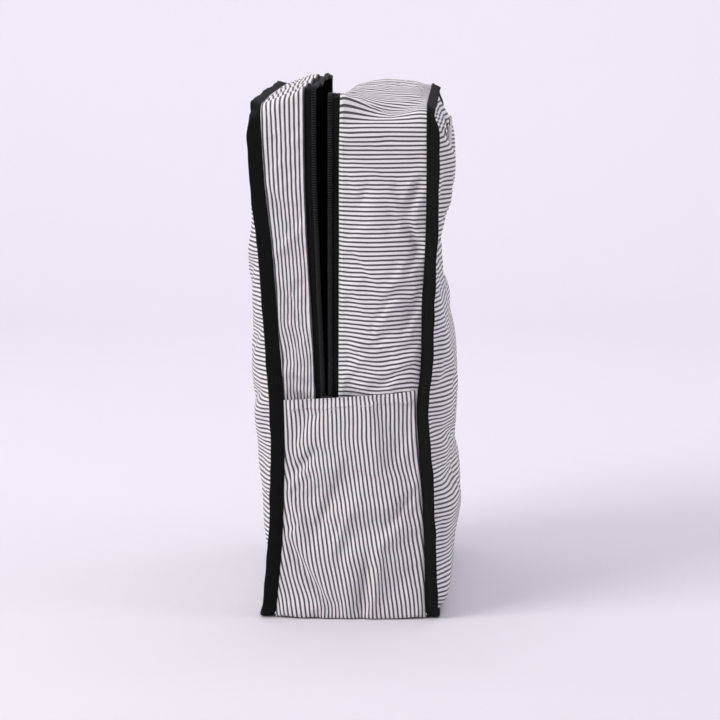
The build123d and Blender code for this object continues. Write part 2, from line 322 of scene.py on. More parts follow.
def simulate(piece, shape, pins, grow, cap, amount, reach=5):
    """Wrinkle cloth whose edges are pinned: it is a little larger than its frame, so it buckles.

    The settled cloth gives wrinkles finer than reach cells, no deeper than cap, and the piece
    keeps its own broad shape."""
    rest = coordinates(piece)
    group = piece.vertex_groups.new(name="pins")
    for weight in np.unique(pins[pins > 0]):
        group.add([int(i) for i in np.nonzero(pins.ravel() == weight)[0]], float(weight), "REPLACE")
    cloth = piece.modifiers.new("cloth", "CLOTH")
    settings = cloth.settings
    settings.vertex_group_mass = "pins"
    settings.pin_stiffness = 1.0
    settings.quality = 5
    settings.mass = 0.05
    settings.tension_stiffness = 25
    settings.compression_stiffness = 25
    settings.shear_stiffness = 10
    settings.bending_stiffness = 0.15
    settings.shrink_min = -grow
    settings.use_pressure = True
    settings.uniform_pressure_force = 2.0
    settings.effector_weights.gravity = 0.05
    cloth.collision_settings.use_collision = False
    cloth.collision_settings.use_self_collision = False
    cloth.point_cache.frame_start = 1
    cloth.point_cache.frame_end = FRAMES
    scene = bpy.context.scene
    for number in range(1, FRAMES + 1):
        scene.frame_set(number)
    shown = piece.evaluated_get(bpy.context.evaluated_depsgraph_get())
    settled = np.zeros(len(rest) * 3)
    shown.data.vertices.foreach_get("co", settled)
    move = (settled.reshape(-1, 3) - rest).reshape(*shape, 3)
    rows, cols = np.indices(shape)
    border = np.minimum.reduce([rows, shape[0] - 1 - rows, cols, shape[1] - 1 - cols])
    fade = np.clip(border / RIM_CELLS, 0, 1)[..., None]
    move = (move - blurred(move, reach)) * fade * amount
    length = np.linalg.norm(move, axis=-1, keepdims=True)
    move = move * cap * np.tanh(length / cap) / np.maximum(length, 1e-9)
    piece.modifiers.remove(cloth)
    piece.vertex_groups.remove(group)
    moved = rest + move.reshape(-1, 3)
    moved[:, 2] = np.maximum(moved[:, 2], np.minimum(rest[:, 2], CLOTH_FLOOR))
    move_to(piece, moved)
    scene.frame_set(1)


# ---- materials ----
class Nodes:
    """Short names for building a shader."""

    def __init__(self, name, roughness=0.8, sheen=0.0, specular=0.3):
        self.material = bpy.data.materials.new(name)
        self.material.use_nodes = True
        self.tree = self.material.node_tree
        self.shader = self.tree.nodes["Principled BSDF"]
        self.shader.inputs["Roughness"].default_value = roughness
        self.shader.inputs["Specular IOR Level"].default_value = specular
        self.shader.inputs["Sheen Weight"].default_value = sheen
        self.shader.inputs["Sheen Roughness"].default_value = 0.5

    def add(self, kind, **values):
        node = self.tree.nodes.new(kind)
        for key, value in values.items():
            setattr(node, key, value)
        return node

    def link(self, source, target):
        self.tree.links.new(source, target)

    def math(self, operation, a, b=None, c=None):
        node = self.add("ShaderNodeMath", operation=operation)
        for socket, value in zip(node.inputs, (a, b, c)):
            if value is None:
                continue
            if isinstance(value, (int, float)):
                socket.default_value = value
            else:
                self.link(value, socket)
        return node.outputs[0]

    def mix(self, factor, a, b):
        node = self.add("ShaderNodeMix", data_type="RGBA")
        for socket, value in ((node.inputs[0], factor), (node.inputs[6], a), (node.inputs[7], b)):
            if isinstance(value, tuple):
                socket.default_value = (*value, 1.0)
            elif isinstance(value, (int, float)):
                socket.default_value = value
            else:
                self.link(value, socket)
        return node.outputs[2]

    def cloth(self):
        """Cloth coordinates in millimetres: across and along."""
        uv = self.add("ShaderNodeUVMap", uv_map="cloth")
        scaled = self.add("ShaderNodeVectorMath", operation="SCALE")
        scaled.inputs["Scale"].default_value = 1000.0
        self.link(uv.outputs[0], scaled.inputs[0])
        parts = self.add("ShaderNodeSeparateXYZ")
        self.link(scaled.outputs[0], parts.inputs[0])
        return scaled.outputs[0], parts.outputs[0], parts.outputs[1]

    def noise(self, vector, scale, detail=2.0):
        node = self.add("ShaderNodeTexNoise")
        node.inputs["Scale"].default_value = scale
        node.inputs["Detail"].default_value = detail
        self.link(vector, node.inputs["Vector"])
        return node.outputs["Fac"]

    def thread(self, coordinate, pitch):
        """A rounded thread profile from 0 to 1, repeating every pitch."""
        turns = self.math("MULTIPLY", coordinate, 2 * math.pi / pitch)
        return self.math("MULTIPLY_ADD", self.math("SINE", turns), 0.5, 0.5)

    def bump(self, height, distance, strength=1.0):
        node = self.add("ShaderNodeBump")
        node.inputs["Distance"].default_value = distance
        node.inputs["Strength"].default_value = strength
        self.link(height, node.inputs["Height"])
        self.link(node.outputs[0], self.shader.inputs["Normal"])


def striped_canvas():
    """White cloth with fine charcoal stripes across the "along" coordinate."""
    n = Nodes("striped_canvas", roughness=0.78, sheen=0.15, specular=0.25)
    vector, across, along = n.cloth()
    wander = n.math("MULTIPLY_ADD", n.noise(vector, 0.05), 0.5, -0.25)
    fray = n.math("MULTIPLY_ADD", n.noise(vector, 2.2), 0.16, -0.08)
    place = n.math("ADD", n.math("ADD", along, wander), fray)
    phase = n.math("FRACT", n.math("DIVIDE", place, STRIPE))
    off = n.math("ABSOLUTE", n.math("SUBTRACT", phase, 0.5))
    ramp = n.add("ShaderNodeMapRange", interpolation_type="SMOOTHSTEP")
    ramp.inputs["From Min"].default_value = DARK_SHARE / 2 + 0.04
    ramp.inputs["From Max"].default_value = DARK_SHARE / 2 - 0.04
    n.link(off, ramp.inputs["Value"])
    weft, warp = n.thread(across, 0.42), n.thread(along, 0.42)
    weave = n.math("MAXIMUM", weft, warp)
    white = n.mix(n.noise(vector, 0.35, 4.0), (0.76, 0.735, 0.745), (0.86, 0.835, 0.845))
    dark = n.mix(weave, (0.045, 0.042, 0.046), (0.095, 0.089, 0.096))
    colour = n.mix(ramp.outputs[0], white, dark)
    n.link(colour, n.shader.inputs["Base Color"])
    slub = n.math("MULTIPLY", n.noise(vector, 1.2, 3.0), 0.8)
    crumple = n.math("MULTIPLY", n.noise(vector, 0.085, 3.0), 14.0)
    n.bump(n.math("ADD", n.math("ADD", weave, slub), crumple), 0.00007, 0.8)
    return n.material


def black_cloth(name, colour, pitch, roughness, twill):
    """Black woven tape or lining, with a rib or a herringbone."""
    n = Nodes(name, roughness=roughness, sheen=0.02, specular=0.12)
    vector, across, along = n.cloth()
    lean = n.math("MULTIPLY", n.math("PINGPONG", across, 2.6), twill)
    rib = n.thread(n.math("ADD", along, lean), pitch)
    fine = n.thread(across, pitch * 0.8)
    weave = n.math("MULTIPLY_ADD", fine, 0.45, rib)
    worn = n.noise(vector, 0.4, 4.0)
    light = tuple(c * 1.8 + 0.0012 for c in colour)
    n.link(n.mix(n.math("MULTIPLY", weave, worn), colour, light), n.shader.inputs["Base Color"])
    n.bump(weave, 0.00012, 0.8)
    return n.material


def grained(name, scale, detail, dark, light, relief=None, strength=0.5, **surface):
    """A shader whose colour, and relief if it has any, follow one fine grain."""
    n = Nodes(name, **surface)
    place = n.add("ShaderNodeTexCoord")
    grain = n.noise(place.outputs["Object"], scale, detail)
    n.link(n.mix(grain, dark, light), n.shader.inputs["Base Color"])
    if relief:
        n.bump(grain, relief, strength)
    return n, grain


def black_lacquer():
    """Painted zinc: soft black with small wear marks, which shine less or more."""
    n, wear = grained("black_lacquer", 420.0, 5.0, (0.010, 0.010, 0.011), (0.045, 0.044, 0.046),
                      0.00003, roughness=0.35, specular=0.5)
    n.shader.inputs["Metallic"].default_value = 0.25
    n.link(n.math("MULTIPLY_ADD", wear, 0.3, 0.22), n.shader.inputs["Roughness"])
    return n.material


CANVAS = striped_canvas()
BINDING = black_cloth("binding_tape", (0.0035, 0.0033, 0.0035), 0.75, 0.85, 0.0)
TAPE = black_cloth("zip_tape", (0.0032, 0.0032, 0.0036), 0.7, 0.8, 1.0)
LINING = black_cloth("lining", (0.002, 0.002, 0.0023), 0.5, 0.9, 0.0)
COIL = grained("nylon_coil", 900.0, 3.0, (0.004, 0.004, 0.0045), (0.011, 0.0105, 0.0115),
               0.00004, roughness=0.5, specular=0.3)[0].material
THREAD = grained("white_thread", 2600.0, 3.0, (0.55, 0.53, 0.54), (0.82, 0.80, 0.80),
                 0.00005, 0.6, roughness=0.7, sheen=0.2)[0].material
LACQUER = black_lacquer()


# ---- stitches ----
THREAD_RADIUS = 0.2 * MM
THREAD_SIDES = 6
# A stitch's lift off the cloth and its thickness, from end to end, in thread radii.
STITCH_LIFT = [-0.5, 0.35, 0.6, 0.35, -0.5]
STITCH_SWELL = [0.5, 0.95, 1.0, 0.95, 0.5]


def stitches(name, lines, pitch=3.4 * MM, length=2.5 * MM):
    """Lock stitches as short rounded threads along lines of (points, surface normals)."""
    stations = len(STITCH_LIFT)
    lift = np.array(STITCH_LIFT)[:, None] * THREAD_RADIUS
    wide = np.array(STITCH_SWELL)[:, None] * THREAD_RADIUS
    verts, faces = [], []
    for points, normals in lines:
        steps = np.linalg.norm(np.diff(points, axis=0), axis=1)
        place = np.concatenate([[0], np.cumsum(steps)])
        count = int(place[-1] / pitch)
        for k in range(count):
            start = (k + 0.15) * place[-1] / count
            stops = start + np.linspace(0, 1, stations) * length
            path = np.stack([np.interp(stops, place, points[:, i]) for i in range(3)], 1)
            up = np.stack([np.interp(stops, place, normals[:, i]) for i in range(3)], 1)
            ahead = path[-1] - path[0]
            side = np.cross(up, ahead / np.linalg.norm(ahead))
            faces += tube_faces(len(verts), stations, THREAD_SIDES, 1, stations)
            for turn in np.arange(THREAD_SIDES) * 2 * math.pi / THREAD_SIDES:
                ring = path + up * (lift + wide * math.sin(turn)) + side * wide * math.cos(turn)
                verts += ring.tolist()
    piece = new_piece(name, verts, faces, THREAD)
    return piece


# ---- gusset strips ----
POCKET_LOW, POCKET_HIGH = 177.3 * MM, 186.5 * MM  # mouth height at the front and rear seams
TUCK = 4.0 * MM  # how far back the gussets lie behind it
STRIP_ROW = 3.2 * MM  # length of a gusset's cloth cells
# How far in from the rounded outline the rear strip's middle sinks, by distance along it
# from the middle of the top: it is domed along the top, and droops at its two ends.
dome = smooth_curve([
    (0, -8), (30, -7), (75, -1.5), (104, 5), (124, 12), (144, 12), (165, 2), (185, 0), (600, 0)])
RISE_LOW, RISE_HIGH = TOP - 0.110, TOP - 0.010  # the zip's edge lifts over this height
REAR_SLACK = (0.207, 0.026)  # height of a gusset's slack part, and reach
FRONT_SLACK = (0.225, 0.05)


def slack_near(height, part):
    """From 1 in a gusset's slack part to 0 well away from it."""
    middle, reach = part
    return np.exp(-((height - middle) / reach) ** 2)


def clear_of_pocket(z):
    """From 0 behind the pocket mouths, where the gussets lie back, to 1 above them."""
    return eased(z, POCKET_LOW - 4 * MM, POCKET_HIGH + 15 * MM)


def zip_rise(y, z, near, far, wave):
    """How far the open zip's edge stands above the gusset, or sags, along the top."""
    side = y / HALF
    level = (near * (1 - side) + far * (1 + side)) / 2
    waves = wave * (np.sin(y / 0.013 + 1.2) + 0.6 * np.sin(y / 0.031))
    return (level + waves) * eased(z, RISE_LOW, RISE_HIGH)


def front_rise(y, z):
    return zip_rise(y, z, 14.5 * MM, 7.5 * MM, 1.3 * MM)


def rear_rise(y, z):
    return zip_rise(y, z, 9.5 * MM, -12 * MM, 0.5 * MM)


def strip(s, x_low, x_high, cols, puff, seed, shift=0.0, power=(2.0, 2.0), droop=0.0,
          rise=(None, None), skew=1.0, tuck=True):
    """Points of a strip along the outline, with a gentle puff and ripple between its edges.

    power squares the corners at its two edges, droop is how much of the dome its middle has,
    rise lifts either edge, skew under 1 brings the fullest line nearer the first edge, and tuck
    lays its lower ends back behind the pocket mouths."""
    y, z, ny, nz = outline(s)
    t = np.linspace(0, 1, cols)[None, :]
    x = x_low(z)[:, None] * (1 - t) + x_high(z)[:, None] * t
    base = np.stack([x, down(y, x), down(z, x)], -1)
    belly = np.sin(math.pi * t**skew) ** 0.7
    full, sag = np.sin(math.pi * t) ** 0.7, np.sin(math.pi * t) ** 1.2
    out = belly * (puff + 0.9 * MM * ripple(base, 0.045, seed))
    if tuck:
        free = clear_of_pocket(z)[:, None]
        out = out * free - TUCK * (1 - free) * full
    corner = power[0] * (1 - t) + power[1] * t
    sink = dome(np.abs(s - SIDE_RUN - ARC - TOP_RUN / 2))[:, None]
    out = out + shift + squarer(nz[:, None], ny[:, None], corner)
    out = out - droop * np.where(sink > 0, sag, full) * sink
    points = base + out[..., None] * outward(ny, nz)
    for lift, share in ((rise[0], (1 - t) ** 1.5), (rise[1], t**1.3)):
        if lift:
            points[..., 2] += share * lift(y, z)[:, None]
    return points


def strip_rows(spacing):
    """Arc lengths from the near zip end, over the top, to the far zip end."""
    low, high = up_side(ZIP_END - 0.006), far_side(ZIP_END - 0.006)
    return np.linspace(low, high, int((high - low) / spacing) + 1)


REAR_STRIP_FOLDS = [
    ((56, 356), (43, 322), 4, -4.9), ((44, 330), (40, 312), 4, 2.2),
    ((42, 324), (57, 296), 4, -4.3), ((57, 304), (44, 278), 3.5, -4.3),
    ((50, 292), (28, 262), 5, 2.9), ((57, 268), (40, 230), 4, -5.2),
    ((40, 262), (24, 236), 4, 2.3), ((40, 240), (6, 212), 4, -2.5),
    ((56, 222), (30, 188), 5, 3.2), ((48, 206), (18, 187), 4, -3.2),
    ((22, 228), (-4, 196), 4, 2.3), ((20, 352), (2, 330), 7, -1.7),
    ((58, 398), (24, 384), 4, -2.6)]
FRONT_STRIP_FOLDS = [
    ((-64, 342), (-40, 306), 5, -2.2), ((-60, 292), (-36, 318), 5, 1.6),
    ((-60, 272), (-34, 236), 5, -2.2), ((-56, 236), (-32, 208), 4, 1.8),
    ((-56, 216), (-30, 184), 4, -2.2), ((-70, 392), (-44, 372), 5, -1.4),
    ((-52, 205), (-30, 190), 4, 1.5)]
REAR_STRIP = {"power": (REAR_POWER, SEAM_POWER), "droop": 1.0, "rise": (rear_rise, None),
              "skew": 0.62}
FRONT_STRIP = {"power": (SEAM_POWER, FRONT_POWER), "rise": (None, front_rise)}
FRONT_STRIP_WIDTH = 33.3 * MM  # of its cloth, from the seam to the zip


def near_side(s):
    """1 for the rows up the near side and 0 beyond, where the drawn folds stop."""
    return (s < up_side(TOP - CORNER))[:, None]


def rear_gusset():
    """Striped across: its stripes bow along the top and sway where it is slack, low down."""
    s = strip_rows(STRIP_ROW)
    cols = 31
    points = strip(s, rear_zip_edge, rear_seam, cols, 3.4 * MM, 1, **REAR_STRIP)
    x, height = points[..., 0], points[..., 2]
    points[..., 1] -= near_side(s) * creases(x, height, REAR_STRIP_FOLDS) * edge_fade(cols)
    y, z, ny, _ = outline(s)
    bow = (1 - np.linspace(0, 1, cols)) ** 1.5 * (ny * rear_rise(y, z))[:, None]
    bends = 2.1 * MM * np.sin((x - 0.004) / 0.011) + 1.2 * MM * ripple(points, 0.022, 14)
    sway = (0.6 * MM * ripple(points, 0.06, 11) + 0.5 * MM * np.sin(x / 0.02 + 1)
            + slack_near(height, REAR_SLACK) * bends)
    along = down(s, x) - bow
    along = along + sway * near_side(s) * edge_fade(cols)
    piece = grid_mesh("rear_gusset_cloth", points, np.stack([x, along], -1), CANVAS)
    simulate(piece, x.shape, edge_pins(*x.shape), grow=0.04, cap=2.2 * MM, amount=1.2,
             reach=8)
    return thicken(piece, 1.0 * MM)


def front_gusset():
    """Striped lengthways: its stripes waver where it is slack, low down."""
    s = strip_rows(STRIP_ROW)
    cols = 16
    points = strip(s, front_seam, front_zip_edge, cols, 1.4 * MM, 2, **FRONT_STRIP)
    x, height = points[..., 0], points[..., 2]
    points[..., 1] -= near_side(s) * creases(x, height, FRONT_STRIP_FOLDS) * edge_fade(cols)
    bends = 1.5 * np.sin(height / 0.012) + 1.2 * ripple(points, 0.03, 15)
    wave = MM * (0.7 * ripple(points, 0.07, 12) + slack_near(height, FRONT_SLACK) * bends)
    across = np.linspace(0, 1, cols)[None, :] * FRONT_STRIP_WIDTH + wave * edge_fade(cols)
    piece = grid_mesh("front_gusset_cloth", points, np.stack([down(s, x), across], -1), CANVAS)
    simulate(piece, x.shape, edge_pins(*x.shape), grow=0.04, cap=2.0 * MM, amount=1.2,
             reach=7)
    return thicken(piece, 1.0 * MM)


def lower_gusset():
    """The boot: down the near side from the zip's end, under the base, and up the far side."""
    low, high = far_side(ZIP_END + 0.004), PERIMETER + up_side(ZIP_END + 0.004)
    s = np.linspace(low, high, int((high - low) / (5 * MM)))
    points = strip(s, front_seam, rear_seam, 24, 0.0, 3, -0.4 * MM, tuck=False)
    points[..., 2] = np.maximum(points[..., 2], 0.3 * MM)
    cloth = np.stack([down(s, points), points[..., 0]], -1)
    return thicken(grid_mesh("lower_gusset_cloth", points, cloth, CANVAS), 0.9 * MM)


def strip_lining(name, low, high, x_low, x_high, seed, inset, floor=0.0, **shape):
    """Black lining inside a strip, with loose ripples."""
    s = np.linspace(low, high, int((high - low) / (7 * MM)))
    points = strip(s, x_low, x_high, 12, -1.2 * MM, seed, -inset, **shape)
    points[..., 2] = np.maximum(points[..., 2], floor)
    cloth = np.stack([points[..., 0], down(s, points)], -1)
    return thicken(grid_mesh(name, points, cloth, LINING), 0.5 * MM)


# ---- side pockets ----
HEM = 8.3 * MM
HEM_ROWS = np.array([0, 0.5, 2.5, 5.5, 7.6, 8.3, 9.2]) * MM  # finer cloth rows at the hem
POCKET_COLS, POCKET_ROWS = 43, 58
POCKET_DEPTH = 6.2 * MM  # how far its middle stands out
POCKET_STAND = 3.4 * MM  # the least that its mouth stands out
POCKET_PULL = 1.045  # the pocket's cloth is eased in a little
POCKET_FOLDS = [
    ((-46, 118), (-28, 138), 3.5, -3.2), ((-50, 104), (-30, 124), 3.5, 2.4),
    ((-2, 128), (-30, 62), 6, -3.5), ((8, 110), (-14, 50), 6, 2.7),
    ((16, 176), (30, 70), 9, 2.4), ((14, 52), (9, 3), 2.6, -4.1),
    ((26, 74), (17, 4), 5, 3.5), ((2, 64), (-2, 6), 5, 1.9),
    ((50, 104), (26, 70), 5, -2.7), ((-54, 66), (-20, 12), 5, -2.4),
    ((-44, 36), (-16, 4), 4, 2.7), ((48, 165), (30, 120), 6, -2.2),
    ((-34, 176), (-46, 140), 5, -2.4)]


def pocket_stripes(base, share, t, side):
    """Where the stripes run: they lean over towards the base, with an elbow near the front."""
    lean = 20 * MM * (0.35 * share + 0.65 * eased(share, 0.15, 0.95))
    corner_lean = 6 * MM * eased(share, 0.72, 1.0) * eased(0.62 - t, 0.0, 0.45)
    elbow = 3.4 * MM * np.exp(-((share - 0.36) / 0.07) ** 2) * np.exp(-((t - 0.12) / 0.16) ** 2)
    wave = 1.6 * MM * ripple(base, 0.05, 21 + side) * share + 0.6 * MM * ripple(base, 0.02, 3)
    return (base[..., 0] - lean - corner_lean - elbow + wave * edge_fade(POCKET_COLS)) * POCKET_PULL


def pocket(side, name):
    """A patch pocket with a folded hem; side is -1 near, 1 far."""
    inset = 0.6 * MM
    span = POCKET_HIGH - BASE_CORNER + 0.9 * BASE_ARC
    drop = np.concatenate([HEM_ROWS, np.linspace(12 * MM, span, POCKET_ROWS)])
    t = np.linspace(0, 1, POCKET_COLS)[None, :]
    fade = edge_fade(POCKET_COLS)
    mouth = POCKET_LOW + (POCKET_HIGH - POCKET_LOW) * t**1.7 + 0.4 * MM * np.sin(math.pi * t * 1.6)
    share = (drop / span)[:, None]
    fall = drop[:, None] - share * (POCKET_HIGH - mouth)
    y, z, ny, nz = outline(up_side(mouth) - fall)
    x = (front_seam(z) + inset) * (1 - t) + (rear_seam(z) - inset) * t
    tuck = np.sqrt(np.clip((1.005 - share) / 0.05, 0, 1))
    depth = POCKET_DEPTH * np.sin(math.pi * t) ** 0.45 * (0.9 + 0.3 * share**2) * tuck + 0.9 * MM
    depth = depth + squarer(nz, ny, 4.0)
    ridge = np.where(drop < HEM, 0.35, 0.0) * MM + np.where(drop == HEM, -0.2, 0.0) * MM
    base = np.stack([x, y, z], -1)
    out = depth + ridge[:, None]
    out = out + creases(x, z, POCKET_FOLDS) * fade + 0.8 * MM * ripple(base, 0.035, 5 + side) * fade
    points = np.stack([x, -side * (y + ny * out), z + nz * out], -1)
    points[..., 2] = np.maximum(points[..., 2], 0.5 * MM)
    cloth = np.stack([down(drop, x), pocket_stripes(base, share, t, side)], -1)
    piece = grid_mesh(name, points, cloth, CANVAS)
    pins = edge_pins(*x.shape, ends=False)
    pins[-1, :] = 1.0
    pins[0, :] = np.maximum(pins[0, :], 0.35)
    simulate(piece, x.shape, pins, grow=0.045, cap=2.6 * MM, amount=1.4, reach=8)
    settled = coordinates(piece).reshape(points.shape)
    least = HALF + POCKET_STAND * fade * eased(settled[..., 2], 0.130, 0.150)
    settled[..., 1] = side * np.maximum(side * settled[..., 1], least - 0.5 * MM)
    move_to(piece, settled)
    line = settled[int(np.nonzero(drop == HEM)[0][0]), 1:-1]
    normal = np.tile([0.0, side, 0.0], (len(line), 1))
    thread = stitches(name + "_hem_stitches", [(line + normal * 0.15 * MM, normal)],
                      pitch=3.0 * MM, length=2.3 * MM)
    return thicken(piece, 1.0 * MM), thread, span


# ---- big panels ----
# How far each panel stands out from its seam, by height, and how it rounds off at its rim.
rear_bulge = smooth_curve([
    (0, 20), (27, 19.5), (45, 19.5), (62, 22.8), (82, 28), (96, 26.5), (111, 21.5), (124, 22.5),
    (142, 26.5), (156, 28.5), (172, 31), (190, 27.7), (206, 24), (222, 20.5), (240, 17.5),
    (257, 12.5), (273, 9.5), (290, 6.5), (303, 9), (319, 11.5), (334, 12.5), (350, 15),
    (372, 15.5), (381, 14.5), (390, 9), (398, 5), (412, 4)])
front_bulge = smooth_curve([
    (0, 7), (27, 9), (50, 12.5), (73, 17.5), (86, 18), (103, 21.5), (135, 24), (158, 28.5),
    (173, 30), (196, 28), (219, 25.5), (249, 22.5), (281, 21.5), (302, 20.5), (322, 14.5),
    (345, 11.5), (412, 8)])


# Each panel's soft folds: from, to, spread and depth in mm.
REAR_FOLDS = [
    ((-140, 360), (-60, 378), 7, 2.4), ((-148, 392), (-100, 352), 8, -2.2),
    ((-60, 306), (60, 300), 9, -1.5), ((-150, 300), (-80, 318), 7, -1.8),
    ((-120, 215), (-30, 250), 10, 1.6), ((-145, 150), (-70, 140), 8, -2.0),
    ((-146, 82), (-60, 96), 9, 1.8), ((-140, 30), (-60, 62), 9, -1.6),
    ((60, 250), (140, 215), 9, -1.6), ((70, 100), (145, 140), 10, 1.8),
    ((30, 40), (110, 60), 9, -1.4), ((140, 330), (80, 300), 8, 1.8)]
FRONT_FOLDS = [
    ((-146, 300), (-80, 280), 8, 1.6), ((-140, 180), (-50, 168), 7, -2.2),
    ((-148, 240), (-90, 215), 9, -1.6), ((-140, 100), (-60, 120), 9, 1.5),
    ((-130, 40), (-50, 60), 9, -1.4), ((50, 172), (140, 165), 7, -2.0),
    ((60, 260), (140, 230), 9, 1.6), ((40, 90), (120, 60), 9, 1.4)]


def half_width(z):
    """The panel outline's half width at a height, inside its rounded corners."""
    upper = np.clip(z - (TOP - CORNER), 0, CORNER)
    lower = np.clip(BASE_CORNER - z, 0, BASE_CORNER)
    top_bite = CORNER - (CORNER**SEAM_POWER - upper**SEAM_POWER) ** (1 / SEAM_POWER)
    low_bite = BASE_CORNER - (BASE_CORNER**BASE_POWER - lower**BASE_POWER) ** (1 / BASE_POWER)
    return HALF - top_bite - low_bite


def panel_grid():
    """Heights, shares of the half width from -1 to 1, and y of a grid that fills the outline."""
    rim = 1 - np.cos(np.linspace(0.12, math.pi / 2, 8))
    z = np.concatenate([BASE_CORNER * rim, np.linspace(BASE_CORNER, TOP - CORNER, 78)[1:-1],
                        (TOP - CORNER * rim)[::-1]])
    a = np.linspace(-1, 1, 61)
    t = np.sign(a) * (1 - (1 - np.abs(a)) ** 1.25)
    return z, t, t[None, :] * half_width(z)[:, None]


PANEL_Z, PANEL_T, PANEL_Y = panel_grid()
TOP_ROUND, LOW_ROUND = 21 * MM, 17 * MM  # heights over which a panel rounds off
SHOULDER_Y, SHOULDER_Z = 102 * MM, 0.349  # beside the handle
SHOULDER_WIDE, SHOULDER_TALL = 0.022, 0.031  # and its half sizes
FOAM = 6.0 * MM  # from the panel's cloth to its lining


def panel(name, seam, bulge, side, seed, folds, stand):
    """A crowned panel, pinned round its seam, whose cloth has a little slack.

    On both sides of the handle it stands out at least as far as stand."""
    z, y = PANEL_Z, PANEL_Y
    top_rim = np.clip((TOP - z) / TOP_ROUND, 0, 1)
    low_rim = np.clip(z / LOW_ROUND, 0, 1)
    round_off = np.sqrt(1 - (1 - top_rim) ** 2) * np.sqrt(1 - (1 - low_rim) ** 2)
    across = (1 - np.abs(PANEL_T) ** 5) ** 0.55
    height = down(z, y)
    out = bulge(z)[:, None] * round_off[:, None] * across[None, :]
    base = np.stack([0 * y, y, height], -1)
    soft = (round_off[:, None] * across[None, :]) ** 1.5
    shoulder = (np.exp(-((np.abs(y) - SHOULDER_Y) / SHOULDER_WIDE) ** 4)
                * np.exp(-((height - SHOULDER_Z) / SHOULDER_TALL) ** 4))
    out = out + shoulder * np.maximum(stand - out, 0)
    wrinkle = 1.6 * MM * ripple(base, 0.07, seed) + 0.7 * MM * ripple(base, 0.028, seed + 1)
    out = out + soft * wrinkle
    for fold in folds:
        out = out + soft * crease(y, height, *fold)
    points = np.stack([seam(height) + side * out, y, height], -1)
    piece = grid_mesh(name, points, np.stack([y, height], -1), CANVAS)
    simulate(piece, y.shape, edge_pins(*y.shape), grow=0.04, cap=4.5 * MM, amount=1.3)
    return piece


def hollow_for_handle(piece, wall, side):
    """The cloth behind a handle lies flat, no further out than the wall at each height."""
    margin = 12 * MM
    fade = 8 * MM
    co = coordinates(piece)
    y, z = np.abs(co[:, 1]), co[:, 2]
    soft = (np.clip((LEG + 16 * MM + margin - y) / margin, 0, 1)
            * np.clip((z - HANDLE_LOW + fade) / fade, 0, 1)
            * np.clip((HANDLE_TOP + fade - z) / fade, 0, 1))
    over = np.maximum((co[:, 0] - wall(z)) * side, 0)
    co[:, 0] -= side * over * soft
    move_to(piece, co)


def panel_lining(name, piece, seam, side):
    """Black lining inside a panel, a foam's thickness in from its cloth."""
    co = coordinates(piece).reshape(*PANEL_Y.shape, 3)[::2, ::2].copy()
    out = (co[..., 0] - seam(co[..., 2])) * side
    co[..., 0] = seam(co[..., 2]) + side * np.maximum(out - FOAM, 0.3 * out - 2.5 * MM)
    co[..., 1] *= 0.985
    co[..., 2] = 3 * MM + co[..., 2] * 0.985
    return thicken(grid_mesh(name, co, co[..., 1:], LINING), 0.6 * MM)


# ---- bound seams ----
FIN_THICK = 2.4 * MM
# Half of the folded tape's section: (share of its depth, share of its thickness) from its root.
FIN_SECTION = [
    (-0.08, 0.30), (0.08, 0.44), (0.18, 0.38), (0.235, 0.28), (0.29, 0.40), (0.45, 0.48),
    (0.65, 0.46), (0.82, 0.48), (0.93, 0.44), (0.985, 0.28), (1.0, 0.0)]


def binding(name, seam, side, seed, fin, flare_out, fall):
    """Folded tape over the seam allowance: it flares, waves, and crumples at the corners.

    It leans flare_out degrees off the panel's edge, and less by fall along the top."""
    s = np.linspace(0, PERIMETER, int(PERIMETER / (3.2 * MM)), endpoint=False)
    y, z, ny, nz = outline(s)
    square = squarer(nz, ny, SEAM_POWER)
    y, z = y + ny * square, z + nz * square
    root = np.stack([seam(z), y, z], -1)
    under, over = np.clip(-nz * 1.3, 0, 1), np.clip(nz * 1.3, 0, 1)
    corner_top = np.exp(-((np.abs(y) - HALF + 6 * MM) / 0.020) ** 2
                        - ((z - TOP + 6 * MM) / 0.020) ** 2)
    wave, fine = ripple(root, 0.045, seed), ripple(root, 0.012, seed + 1)
    flare = np.radians(flare_out + 9 * wave + 3.5 * fine + corner_top * 16 * fine - fall * over)
    flare = flare * (1 - under)
    depth = fin * (1 + 0.05 * ripple(root, 0.03, seed + 2) - 0.28 * over) - corner_top * 1.0 * MM
    out = np.stack([np.cos(flare) * side, np.sin(flare) * ny, np.sin(flare) * nz], -1)
    thick = np.stack([-np.sin(flare) * side, np.cos(flare) * ny, np.cos(flare) * nz], -1)
    d, n = np.array(FIN_SECTION + [(d, -n) for d, n in FIN_SECTION[-2::-1]]).T
    curl = 1.3 * MM * ripple(root, 0.03, seed + 3) + 0.8 * MM * fine * (1 + 2 * corner_top)
    hook = np.sin(np.clip(d, 0, 1) * math.pi / 2)[None, :] ** 2
    bend = curl[:, None] * (1 - under)[:, None] * hook
    lift = -1.35 * MM * under
    offset = n[None, :] * FIN_THICK + bend + lift[:, None]
    points = (root[:, None, :] + out[:, None, :] * (d[None, :] * depth[:, None])[..., None]
              + thick[:, None, :] * offset[..., None])
    points[..., 2] = np.maximum(points[..., 2], 0.25 * MM)
    around = np.concatenate([[0], np.cumsum(np.hypot(np.diff(d) * fin, np.diff(n) * FIN_THICK))])
    around = np.append(around, around[-1] + 2 * n[0] * FIN_THICK)
    cloth = np.stack(np.broadcast_arrays(around[None, :], np.append(s, PERIMETER)[:, None]), -1)
    return rounded(grid_mesh(name, points, cloth, BINDING, close=True, tube=True))


# ---- zip ----
COIL_PITCH = 1.65 * MM
COIL_WIRE = 0.56 * MM  # radius of its thread
COIL_SIDES = 6
